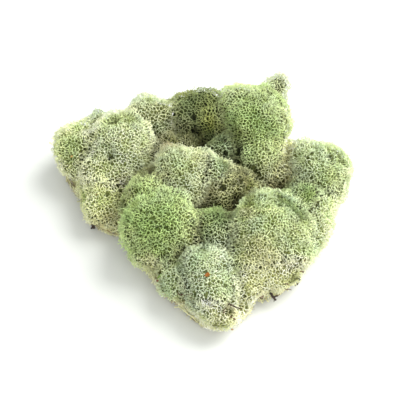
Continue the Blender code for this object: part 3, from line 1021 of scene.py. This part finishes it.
class Growth:
    """Copies of shapes that gather into one mesh, with what its finish reads: tip, tone and hue.

    Each copy, and each face of the inner mat, has a cell of its own on the piece's map.
    """

    CORNERS = np.array([(0, 0), (1, 0), (0, 1)])
    MARGIN = 0.1  # what stays free round each cell
    SLANT = 0.5  # how a branch's sides are spread out in its cell
    SKEW = 0.2

    def __init__(self):
        self.points, self.tris, self.looks, self.cells, self.map = [], [], [], [], []
        self.count = 0
        self.used = 0

    def add(self, points, tris, looks, cells, places):
        """Takes points, triangles, (tip, tone, red, green, blue), and each corner's cell and place."""
        self.points.append(points)
        self.tris.append(tris + self.count)
        self.looks.append(looks)
        self.cells.append(cells + self.used)
        self.map.append(places)
        self.count += len(points)
        self.used += int(cells.max()) + 1

    def add_copies(self, shape, places, turns, stretch, looks, ground, outs):
        """Copies a short branch to many places, each turned and stretched in its own way.

        How deep a point lies under the ground, the surface near it, says how near the tips it is.
        """
        points, tris = shape
        copies, n = len(places), len(points)
        stretched = np.repeat(points[None], copies, axis=0)
        stretched[:, :, 2] *= stretch[:, None]
        moved = np.einsum("kij,knj->kni", turns, stretched) + places[:, None]
        tip = 1 + ((moved - ground[:, None]) * outs[:, None]).sum(2) / FADE_DEPTH
        wide, deep, high = ((points - points.min(0)) / np.ptp(points, axis=0)).T
        across = (wide + self.SLANT * deep) / (1 + self.SLANT)
        up = (1 - self.SKEW) * high + self.SKEW * deep
        spread = np.stack([across, up], 1)
        values = np.repeat(looks[:, None], n, axis=1)
        values = np.concatenate([tip[..., None].clip(0, MOST_TIP), values], axis=2)
        steps = np.arange(copies)[:, None, None] * n
        self.add(
            moved.reshape(-1, 3),
            (tris + steps).reshape(-1, 3),
            values.reshape(-1, 5),
            np.repeat(np.arange(copies), tris.size),
            np.tile(spread[tris.ravel()], (copies, 1)),
        )

    def add_mat(self, bm, depth, name):
        """The inner mat, dark with painted shade: the piece's own form, drawn in and lumpy, but flat
        where it was cut.
        """
        bmesh.ops.subdivide_edges(bm, edges=bm.edges[:], cuts=1, use_grid_fill=True)
        bmesh.ops.triangulate(bm, faces=bm.faces[:])
        bm.normal_update()
        bm.verts.index_update()
        skin = np.array([vertex.co for vertex in bm.verts])
        outs = np.array([vertex.normal for vertex in bm.verts])
        lumps = lift_at(skin) + MAT_LUMPS * noise_at(skin, LUMP_WIDTH / 2, "mat")
        for hole, radius in holes:
            funnel = HOLE_FUNNEL * radius
            lumps -= funnel * nearness(skin, hole, funnel)
        points = skin + outs * (lumps - depth)[:, None]
        points[skin[:, 2] < CUT_HEIGHT, 2] = CUT_MAT_HEIGHT
        tris = np.array([[vertex.index for vertex in face.verts] for face in bm.faces])
        looks = np.concatenate([np.tile((MAT_TIP, MAT_TONE), (len(points), 1)), hues_at(skin, name)], 1)
        cells = np.repeat(np.arange(len(tris)), 3)
        self.add(points, tris, looks, cells, np.tile(self.CORNERS, (len(tris), 1)))

    def build(self, name, material):
        """Makes the mesh, with its map and its attributes, and nothing of it below the table."""
        points = np.concatenate(self.points)
        points[:, 2] = np.maximum(points[:, 2], 0)
        tris = np.concatenate(self.tris)
        looks = np.concatenate(self.looks)
        cells = np.concatenate(self.cells)
        across = math.ceil(math.sqrt(self.used))
        corner = np.stack([cells % across, cells // across], 1)
        spots = (corner + self.MARGIN + (1 - 2 * self.MARGIN) * np.concatenate(self.map)) / across
        mesh = bpy.data.meshes.new(name)
        mesh.vertices.add(len(points))
        mesh.vertices.foreach_set("co", points.ravel())
        mesh.loops.add(tris.size)
        mesh.loops.foreach_set("vertex_index", tris.ravel())
        mesh.polygons.add(len(tris))
        mesh.polygons.foreach_set("loop_start", np.arange(len(tris)) * 3)
        mesh.update(calc_edges=True)
        mesh.uv_layers.new(name="OFBake").uv.foreach_set("vector", spots.ravel())
        for index, key in enumerate(("tip", "tone")):
            layer = mesh.attributes.new(key, "FLOAT", "POINT")
            layer.data.foreach_set("value", looks[:, index].copy())
        hue = mesh.attributes.new("hue", "FLOAT_VECTOR", "POINT")
        hue.data.foreach_set("vector", looks[:, 2:].ravel())
        mesh.shade_smooth()
        mesh.materials.append(material)
        obj = bpy.data.objects.new(name, mesh)
        bpy.context.scene.collection.objects.link(obj)
        return obj


# ---------------------------------------------------------------- dressing a head


def seam_with(places, others, owners):
    """How near each spot is to another piece, 0 at SEAM_WIDTH and 1 where they touch, and which one."""
    near, whose = [], []
    for place in places:
        _, _, face, distance = others.find_nearest(Vector(place), SEAM_WIDTH)
        near.append(0 if distance is None else 1 - distance / SEAM_WIDTH)
        whose.append("" if distance is None else owners[face])
    return np.array(near), np.array(whose)


def noise_at(places, width, pattern):
    """Smooth noise from about -0.5 to 0.5, whose lumps are about this wide."""
    shift = Vector((SHIFTS[pattern], 0, 0))
    return np.array([noise.noise(Vector(place) / width + shift) for place in places])


def hues_at(places, name):
    """A piece's own colours at some spots, with the patches that lie there and painted shade in the
    holes.
    """
    main, other, bright_with_painted_light, _ = COLOURS[name]
    mottle = MOTTLE_SHARE + MOTTLE_CONTRAST * noise_at(places, MOTTLE_WIDTH, "mottle")
    share = mottle.clip(0, 1)[:, None]
    # each piece's brightness, partly painted light and shade
    hues = bright_with_painted_light * (np.array(main) * (1 - share) + np.array(other) * share)
    ragged = [noise_at(places, RAGGED_WIDTH, "ragged_" + axis) for axis in "xyz"]
    moved = places + RAGGED * np.stack(ragged, 1)
    # the patches, many of them painted shade and painted light
    for middle, colour, most, width in patches:
        share = most * nearness(moved, middle, width)[:, None]
        hues = hues * (1 - share) + np.array(colour) * share
    # painted shade in the holes
    for hole, radius in holes:
        hues = hues * (1 - HOLE_PAINTED_SHADE * nearness(places, hole, radius))[:, None]
    return hues


def looks_at(places, ways, seam, whose, name):
    """The tone and colour of the branches at some spots, with painted shade where they see little sky."""
    free = np.array([openness(Vector(place), Vector(way)) for place, way in zip(places, ways)])
    hues = hues_at(places, name)
    for other in set(whose) - {""}:
        near = whose == other
        share = NEIGHBOUR_SHARE * seam[near, None]
        hues[near] = hues[near] * (1 - share) + hues_at(places[near], other) * share
    painted_shade_and_age = COLOURS[name][3]
    # age and painted shade: the old colour comes in where a branch sees little sky, at seams and low down
    age_and_shade = (SHADE_AGE - SKY_AGE * free).clip(0) + SEAM_AGE_AND_SHADE * seam**2
    low = (LOW_AGE - places[:, 2] / LOW_AGE_FALL).clip(0)
    age_and_shade += low + AGE_MOTTLE * noise_at(places, AGE_MOTTLE_WIDTH, "age_and_shade")
    age_and_shade = painted_shade_and_age * age_and_shade.clip(0, MOST_AGE)[:, None]
    hues = hues * (1 - age_and_shade) + np.array(OLD_AND_SHADE_HUE) * hues.max(1)[:, None] * OLD_BRIGHT * age_and_shade
    # painted shade: darker where a branch sees little sky
    painted_shade = painted_shade_and_age * (SHADE_DARKENING - SKY_LIGHTENING * free).clip(0)
    tone = rng.uniform(*TONES, len(places)) * (1 - painted_shade)
    tone *= 1 + TONE_MOTTLE * noise_at(places, TONE_MOTTLE_WIDTH, "tone")
    brightest = tone * hues.max(1)
    hues /= np.maximum(1, brightest / PALEST)[:, None]
    return np.concatenate([tone[:, None], hues], 1)


def lift_at(places):
    """How far the surface rises over the solids at some spots: its lumps and bulges."""
    lift = LUMP_HEIGHT * noise_at(places, LUMP_WIDTH, "lumps")
    lift += SWELL_HEIGHT * noise_at(places, SWELL_WIDTH, "swells")
    lift += CURL_HEIGHT * noise_at(places, CURL_WIDTH, "curls")
    for middle, rise, width in bulges:
        lift += rise * nearness(places, middle, width)
    return lift


def pressed_at(places):
    """How much a caught bit presses the moss down, from 0 to 1 right under it."""
    far = np.array([caught_bits.find_nearest(place)[3] for place in places])
    return np.exp(-((far / PRESS_WIDTH) ** 2))


def clear_of(places, others):
    """Which spots are clear of the table, of other heads, of the caught bits, and of the holes."""
    free = places[:, 2] > LOWEST
    for solids, gap in ((others, CONTACT), (caught_bits, BARE)):
        free &= np.array([solids.find_nearest(Vector(place), gap)[0] is None for place in places])
    rims = 1 + HOLE_RAGGED * noise_at(places, HOLE_RAGGED_WIDTH, "holes")
    for hole, radius in holes:
        free &= np.linalg.norm(places - hole, axis=1) > radius * rims
    return free


def grow(growth, shapes, starts, ends, looks, ground, outs):
    """Stands a branch from each start to its end."""
    count = len(starts)
    ways = ends - starts
    length = np.linalg.norm(ways, axis=1)
    turns = turned_to(ways / length[:, None], rng.uniform(0, 2 * math.pi, count))
    kind = rng.integers(len(shapes), size=count)
    for index, shape in enumerate(shapes):
        mine = kind == index
        if mine.any():
            stretch = length[mine] / shape[0][:, 2].max()
            rest = looks[mine], ground[mine], outs[mine]
            growth.add_copies(shape, starts[mine], turns[mine], stretch, *rest)


def grow_sprays(growth, starts, ways, reach, looks, ground, outs):
    """Stands a thin stem at each start, with a few spurs that spread from its end."""
    ends = starts + ways * reach[:, None]
    grow(growth, stems, starts, ends, looks, ground, outs)
    for _ in range(SPRAY_TIPS):
        way = leaning(ways, TIP_SPREAD)
        far = rng.uniform(*TIP_REACH, len(starts))[:, None] * SPUR_LENGTH
        grow(growth, spurs, ends, ends + way * far, looks, ground, outs)


def grow_crown(growth, clear, places, looks, ground, outs):
    """Stands spurs and loose sprays on some of the clear junctions, and stalks under some."""
    own = some_of(clear, SPUR_SHARE)
    way = leaning(outs[own], SPUR_SPREAD)
    far = rng.uniform(*SPUR_REACH, len(own))[:, None] * SPUR_LENGTH
    grow(growth, spurs, places[own], places[own] + way * far, looks[own], ground[own], outs[own])
    under = some_of(clear, STALK_SHARE)
    foot = places[under] - leaning(outs[under], STALK_SPREAD) * STALK_LENGTH
    grow(growth, stalks, places[under], foot, looks[under], ground[under], outs[under])
    loose = some_of(clear, SPRAY_SHARE)
    way = leaning(outs[loose], SPRAY_SPREAD)
    reach = rng.uniform(*SPRAY_REACH, len(loose)) * MM
    grow_sprays(growth, places[loose], way, reach, looks[loose], ground[loose], outs[loose])


def grow_layer(growth, name, faces, others, owners, pits, spacing, depth):
    """Grows one layer: the arms from junction to junction, and at the top the crown on them."""
    ground, outs, joins = lace(faces, spacing, pits)
    clear = clear_of(ground, others)
    seam, whose = seam_with(ground, others, owners)
    looks = looks_at(ground, outs, seam, whose, name)
    lift = PROUD + SEAM_RISE * seam**2 - depth + lift_at(ground) + rng.normal(0, UNEVEN, len(ground))
    pressed = pressed_at(ground)
    lift = lift * (1 - pressed) - (PRESS_DEPTH + depth) * pressed
    places = ground + outs * lift[:, None]
    joins = joins[clear[joins].all(1)]
    joins = joins[rng.uniform(size=len(joins)) > (LOW_MISSING if depth else MISSING)]
    turned = rng.uniform(size=len(joins)) < 0.5  # half of the arms grow the other way
    joins[turned] = joins[turned, ::-1]
    own, goal = joins[:, 0], places[joins[:, 1]]
    start = places[own]
    reach = rng.uniform(*ARM_REACH, len(joins))[:, None]
    end = start + (goal - start) * reach + rng.normal(0, ARM_MISS, start.shape)
    shades = looks[own]
    shades[:, 0] *= rng.uniform(*ARM_TONES, len(own))
    grow(growth, arms, start, end, shades, ground[own], outs[own])
    if not depth:
        grow_crown(growth, np.flatnonzero(clear), places, looks, ground, outs)


def lay_old_stalks(growth, faces):
    """Lays bent old stalks along a surface: over the base's sides, and under the whole clump."""
    places, outs = scattered(faces, OLD_STALK_SPACING)
    under = places[:, 2] < CUT_HEIGHT
    across = rng.normal(0, 1, places.shape) * np.where(under[:, None], 1, LEVEL)
    along = unit(np.cross(outs, across))
    middles = places + outs * OLD_STALK_RISE
    middles[under, 2] = OLD_STALK_HEIGHT
    stretch = rng.uniform(*OLD_STALK_REACH, len(places))
    feet = middles - along * stretch[:, None] * OLD_STALK_LENGTH / 2
    turns = turned_to(along, rng.uniform(0, 2 * math.pi, len(places)))
    brown = rng.uniform(0, 1, (len(places), 1)) ** BROWN_RARITY
    hues = np.array(STRAW) * (1 - brown) + np.array(BROWN) * brown
    looks = np.concatenate([rng.uniform(*OLD_STALK_TONES, (len(places), 1)), hues], 1)
    kind = rng.integers(len(old_stalks), size=len(places))
    for index, shape in enumerate(old_stalks):
        mine = kind == index
        rest = looks[mine], places[mine], outs[mine]
        growth.add_copies(shape, feet[mine], turns[mine], stretch[mine], *rest)


def add_litter(growth, name):
    """Lays the small litter that this piece carries."""
    for kind, first, last, colour in LITTER:
        start, out, owner = under_pixel(*first)
        if owner != name:
            continue
        end, _, _ = under_pixel(*last)
        rise = np.array(out) * LITTER_RISE
        start, end = np.array([start]) + rise, np.array([end]) + rise
        looks = np.array([(1.0, *colour)])
        grow(growth, litter_shapes[kind], start, end, looks, start, np.array([out]))


def add_rim_sprigs(growth, name):
    """Stands loose sprigs on the rim, where the photo shows single ones."""
    for pixel, length in RIM_SPRIGS:
        spot, out, owner = under_pixel(*pixel)
        if owner != name:
            continue
        up = unit(np.array([out]) + (0, 0, SPRIG_LIFT))
        start = np.array([spot]) + up * SPRIG_FOOT
        looks = np.concatenate([[[1.0]], hues_at(start, name)], 1)
        for _ in range(SPRIG_SPRAYS):
            way = leaning(up, SPRIG_SPREAD)
            reach = np.array([length * MM * rng.uniform(*SPRIG_REACH)])
            grow_sprays(growth, start, way, reach, looks, start, up)
            fork = start + way * reach * SIDE_FOOT
            side_way = leaning(way, SIDE_SPREAD)
            grow_sprays(growth, fork, side_way, reach * SIDE_REACH, looks, start, up)


def dress(name, material):
    """Grows all the moss of a piece, in place of its solid."""
    bm = skin_of(name)
    others, owners = tree_of([other for other in bodies if other != name])
    growth = Growth()
    grown = [face for face in bm.faces if max(vertex.co.z for vertex in face.verts) > CUT_HEIGHT]
    pits, _ = scattered(grown, PIT_SPACING)
    for spacing, depth in ((CELL, 0), (LOW_CELL, LOW_DEPTH)):
        grow_layer(growth, name, grown, others, owners, pits, spacing, depth)
    cut = [face for face in bm.faces if max(vertex.co.z for vertex in face.verts) < CUT_HEIGHT]
    if name == "straw_base":
        cut += [face for face in grown if face.normal.z < SIDE_SLOPE]
    if cut:
        lay_old_stalks(growth, cut)
    add_litter(growth, name)
    add_rim_sprigs(growth, name)
    growth.add_mat(bm, BASE_MAT_DEPTH if name == "straw_base" else MAT_DEPTH, name)
    bm.free()
    obj = growth.build(name + "_branches", material)
    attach(obj, "root")
    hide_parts(name)


# ---------------------------------------------------------------- the small bits


def axes_of(name):
    """A small solid's middle, its three axes from the longest to the shortest, and its sizes on them."""
    points = np.array([vertex.co for vertex in frame["nodes"][name].data.vertices])
    middle = points.mean(0)
    axes = np.linalg.svd(points - middle, full_matrices=False)[2]
    if axes[0][2] > 0:
        axes[0] *= -1
    if axes[1][2] < 0:
        axes[1] *= -1
    along = (points - middle) @ axes.T
    middle = middle + ((along.max(0) + along.min(0)) / 2) @ axes
    return Vector(middle), [Vector(axis) for axis in axes], np.ptp(along, axis=0)


def way_off(place):
    """The way from the nearest head to a place outside it."""
    return (place - whole_clump.find_nearest(place)[0]).normalized()


def finish_bit(obj, name, material):
    """Gives a small bit its finish, in place of its solid."""
    obj.data.materials.append(material)
    obj.data.shade_smooth()
    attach(obj, "root")
    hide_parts(name)


def stick(name, line, widths, forks, rise, material):
    """Models a stick on its solid, from its upper end down. The rise is how far out of it the stick lies.

    Each point of the line is (how far along, how far aside, how far out), as shares of the length.
    A fork is (its foot, its tip, its width), on the same scale. The widths are in millimetres.
    """
    middle, (along, aside, _), size = axes_of(name)
    out = along.cross(aside)
    length = size[0]
    middle += way_off(middle) * rise

    def spot(place):
        far, side, up = place
        return middle + (along * (far - 0.5) + aside * side + out * up) * length

    obj = start_piece(name + "_bark")
    branch([spot(place) for place in line], [width * MM for width in widths], sides=8)
    broken_rim, broken_depth = 0.15 * widths[-1] * MM, 0.2 * MM
    bpy.ops.mesh.inset(thickness=broken_rim)
    bpy.ops.transform.translate(value=-along * broken_depth)
    for foot, tip, width in forks:
        foot, tip = spot(foot), spot(tip)
        bend = (foot + tip) / 2 + aside * FORK_BEND
        branch([foot, bend, tip], [width * share * MM for share in FORK_THINNING], sides=6)
    bpy.ops.mesh.select_all(action="SELECT")
    bpy.ops.mesh.subdivide(number_cuts=1)
    bpy.ops.transform.vertex_random(offset=BARK_ROUGHNESS, seed=3)
    close_piece()
    finish_bit(obj, name, material)


def bark_chips(name, pieces, rise, material):
    """Models a few rough chips on their solid. The rise is how far out of it they lie.

    Each is (its middle, its size, its turn in degrees), on the scale of the solid.
    """
    middle, axes, size = axes_of(name)
    middle += way_off(middle) * rise
    square = axes[0].to_track_quat("Z", "Y")
    obj = start_piece(name + "_chips")
    for index, (place, scale, turn) in enumerate(pieces):
        steps = [axis * share * span for axis, share, span in zip(axes, place, size)]
        where = middle + sum(steps, Vector())
        bpy.ops.mesh.select_all(action="DESELECT")
        bpy.ops.mesh.primitive_cube_add(
            size=1,
            location=where,
            rotation=square.to_euler(),
            scale=(size[2] * scale[2], size[1] * scale[1], size[0] * scale[0]),
        )
        bpy.ops.transform.rotate(value=math.radians(turn), orient_axis="Y", center_override=where)
        bpy.ops.mesh.subdivide(number_cuts=2, fractal=CHIP_FRACTAL, seed=index)
        bpy.ops.transform.vertex_random(offset=CHIP_ROUGHNESS, seed=index + 5)
        bpy.ops.mesh.bevel(offset=CHIP_BEVEL, segments=1)
    close_piece()
    finish_bit(obj, name, material)


def curled_flake(name, material):
    """Models a torn, cupped flake of leaf, and lays it on its solid."""
    middle, axes, size = axes_of(name)
    middle += way_off(middle) * BIT_RISE
    face_up = axes[2] if axes[2].z > 0 else -axes[2]
    obj = start_piece(name + "_curl")
    bpy.ops.mesh.primitive_circle_add(vertices=14, radius=FLAKE_REACH * size[0], fill_type="NGON")
    bpy.ops.transform.resize(value=(1, size[1] / size[0], 1))
    for rim, depth in FLAKE_STEPS:
        bpy.ops.mesh.inset(thickness=rim * size[1])
        bpy.ops.transform.translate(value=(0, 0, -depth))
    bpy.ops.mesh.select_all(action="SELECT")
    bpy.ops.transform.vertex_random(offset=FLAKE_ROUGHNESS, seed=4)
    bpy.ops.object.mode_set(mode="OBJECT")
    thick = obj.modifiers.new("thickness", "SOLIDIFY")
    thick.thickness = FLAKE_THICKNESS
    thick.offset = 1
    bpy.ops.object.modifier_apply(modifier=thick.name)
    bpy.ops.object.mode_set(mode="EDIT")
    close_piece()
    obj.location = middle
    obj.rotation_euler = face_up.to_track_quat("Z", "Y").to_euler()
    bpy.ops.object.transform_apply(location=True, rotation=True, scale=True)
    finish_bit(obj, name, material)


# ---------------------------------------------------------------- the room


def table_finish():
    """A plain white table."""
    material, tree, shader, place = new_finish("white_table")
    clouds = ranged(tree, speckle(tree, place, CLOUD_WIDTH), *SOFT)
    colour = mixed(tree, clouds, *TABLE_WHITES)
    finish_surface(tree, shader, place, colour, rough=(0.55, 0.65), grain_width=1 * MM, strength=0.05)
    return material


def lay_floor():
    """Lays the table top that the clump stands on."""
    bpy.ops.object.select_all(action="DESELECT")
    bpy.ops.mesh.primitive_plane_add(size=FLOOR_SIZE)
    floor = bpy.context.object
    floor.name = "floor"
    floor.data.materials.append(table_finish())


def light(name, place, size, power, colour):
    """Hangs a round lamp that faces the clump."""
    lamp = bpy.data.lights.new(name, "AREA")
    lamp.shape = "DISK"
    lamp.size = size
    lamp.energy = power
    lamp.color = colour
    obj = bpy.data.objects.new(name, lamp)
    obj.location = place
    obj.rotation_euler = (AIM - Vector(place)).to_track_quat("-Z", "Y").to_euler()
    bpy.context.scene.collection.objects.link(obj)


def set_room():
    """Lights the clump from the window and the fill, in a soft white room."""
    world = bpy.data.worlds.new("soft_white_room")
    world.use_nodes = True
    background = world.node_tree.nodes["Background"]
    background.inputs["Color"].default_value = (*ROOM_COLOUR, 1)
    background.inputs["Strength"].default_value = ROOM_LIGHT
    bpy.context.scene.world = world
    for name, settings in LIGHTS.items():
        light(name, *settings)
    bpy.context.scene.view_settings.view_transform = "Standard"


def set_camera():
    """Places the camera where the photo was taken from."""
    camera = bpy.data.cameras.new("photo_view")
    camera.lens = LENS
    camera.sensor_width = SENSOR
    camera.clip_start = NEAREST_SEEN
    obj = bpy.data.objects.new("photo_view", camera)
    obj.location = AIM + DISTANCE * Vector((0, -math.cos(ELEVATION), math.sin(ELEVATION)))
    obj.rotation_euler = (math.pi / 2 - ELEVATION, 0, 0)
    bpy.context.scene.collection.objects.link(obj)
    bpy.context.scene.camera = obj


# ---------------------------------------------------------------- making it all

set_camera()
lay_floor()
set_room()

slots = {part["node"]: part["material_slot"] for part in frame["record"]["subparts"]}
finishes = {name: moss_finish(name, *depths) for name, depths in MOSS.items()}
bodies = [name for name in frame["nodes"] if name.startswith("tuft_")] + ["straw_base"]
whole_clump, whole_owners = tree_of(bodies)
caught_bits, _ = tree_of([name for name in frame["nodes"] if name not in bodies])
patches = [(under_pixel(*pixel)[0], colour, share, width * MM) for colour, share, pixel, width in PATCHES]
holes = [(under_pixel(*pixel)[0], radius * MM) for pixel, radius in HOLES]
bulges = [(under_pixel(*pixel)[0], rise * MM, width * MM) for pixel, rise, width in BULGES]

arms = [
    twig("arm", ARM_LENGTH, ARM_WIDTH, ARM_END),
    twig("thin_arm", ARM_LENGTH, ARM_END, ARM_END),
    twig("pointed_arm", ARM_LENGTH, ARM_WIDTH, 0),
    twig("slender_arm", ARM_LENGTH, ARM_WIDTH * SLENDER, 0),
]
stems = arms[1:2]  # the thin ones, which carry the sprays
spurs = [twig("spur", SPUR_LENGTH, SPUR_WIDTH, 0)]
stalks = [twig("stalk", STALK_LENGTH, STALK_WIDTH, 0)]
bent = [(0, 0, 0), (0.7, 0.2, 3.5), (-0.3, 0.4, 8), (0.5, 0, 12)]
wavy = [(0, 0, 0), (-0.6, 0.3, 4), (0.5, -0.3, 7.5), (0, 0.2, 12)]
curved = [(0, 0, 0), (0.5, 0.2, 3.5), (-0.4, 0.3, 8), (0.3, 0, 12)]
old_stalks = [
    old_stalk("bent_stalk", bent, (-0.2, 0.4, 7.4), (1.6, 0.9, 9.8)),
    old_stalk("wavy_stalk", wavy, (-0.5, 0.2, 4.4), (-2, 0.5, 7)),
]
litter_shapes = {
    "strand": [old_stalk("strand", curved, (0.4, 0.2, 4), (1.2, 0.6, 5.5))],
    "scrap": [scrap("scrap", Vector((0.9, 0.7, 1.4)) * MM, 2)],
}

for name in bodies:
    dress(name, finishes[slots[name]])

dark_bark = bark_finish("bark", *DARK_BARK)
brown_bark = bark_finish("needle", *BROWN_BARK)
orange_leaf = leaf_finish("orange_leaf", *ORANGE_LEAF)
stick(
    "long_dark_twig",
    [
        (0, 0, 0),
        (0.2, 0.05, 0.02),
        (0.42, -0.03, 0.03),
        (0.65, 0.03, 0),
        (0.85, -0.02, 0.02),
        (1, 0.02, 0),
    ],
    [1.1, 1.7, 1.6, 1.7, 1.3, 1.0],
    forks=[((0.55, 0, 0), (0.8, 0.42, 0.1), 1.0), ((0.7, 0, 0), (0.95, -0.3, 0.05), 0.7)],
    rise=0.2 * MM,
    material=dark_bark,
)
stick(
    "short_dark_twig",
    [(0, 0, 0), (0.3, 0.04, 0), (0.65, -0.03, 0.02), (1, 0, 0)],
    [1.3, 1.6, 1.4, 1.0],
    forks=[],
    rise=1.8 * MM,
    material=dark_bark,
)
stick(
    "brown_needle",
    [(0, 0, 0), (0.12, 0, 0), (0.35, 0.02, 0.02), (0.6, 0, 0.03), (0.85, -0.02, 0), (1.05, -0.02, 0)],
    [1.1, 1.3, 0.95, 0.75, 0.6, 0.3],
    forks=[((0.7, 0, 0), (1.0, 0.14, 0), 0.35)],
    rise=-0.3 * MM,
    material=brown_bark,
)
bark_chips(
    "bark_bit_left",
    [
        ((0, 0, 0), (0.95, 0.6, 0.8), 5),
        ((-0.2, 0.4, 0.2), (0.5, 0.5, 0.6), 60),
        ((0.3, -0.3, 0), (0.45, 0.3, 0.9), -40),
    ],
    rise=1.5 * MM,
    material=dark_bark,
)
bark_chips(
    "bark_bit_left_foot",
    [((0, 0, 0), (0.9, 0.8, 0.8), 10)],
    rise=-2 * MM,
    material=dark_bark,
)
bark_chips(
    "bark_bit_right",
    [((0, 0, 0), (0.95, 0.8, 0.8), 0), ((0.3, 0.2, 0.2), (0.4, 0.5, 0.5), 50)],
    rise=BIT_RISE,
    material=dark_bark,
)
bark_chips(
    "bark_bit_front",
    [((0, 0, 0), (0.9, 0.8, 0.8), 0), ((-0.3, 0.2, 0), (0.4, 0.4, 0.7), 40)],
    rise=BIT_RISE,
    material=brown_bark,
)
curled_flake("orange_leaf_flake", orange_leaf)
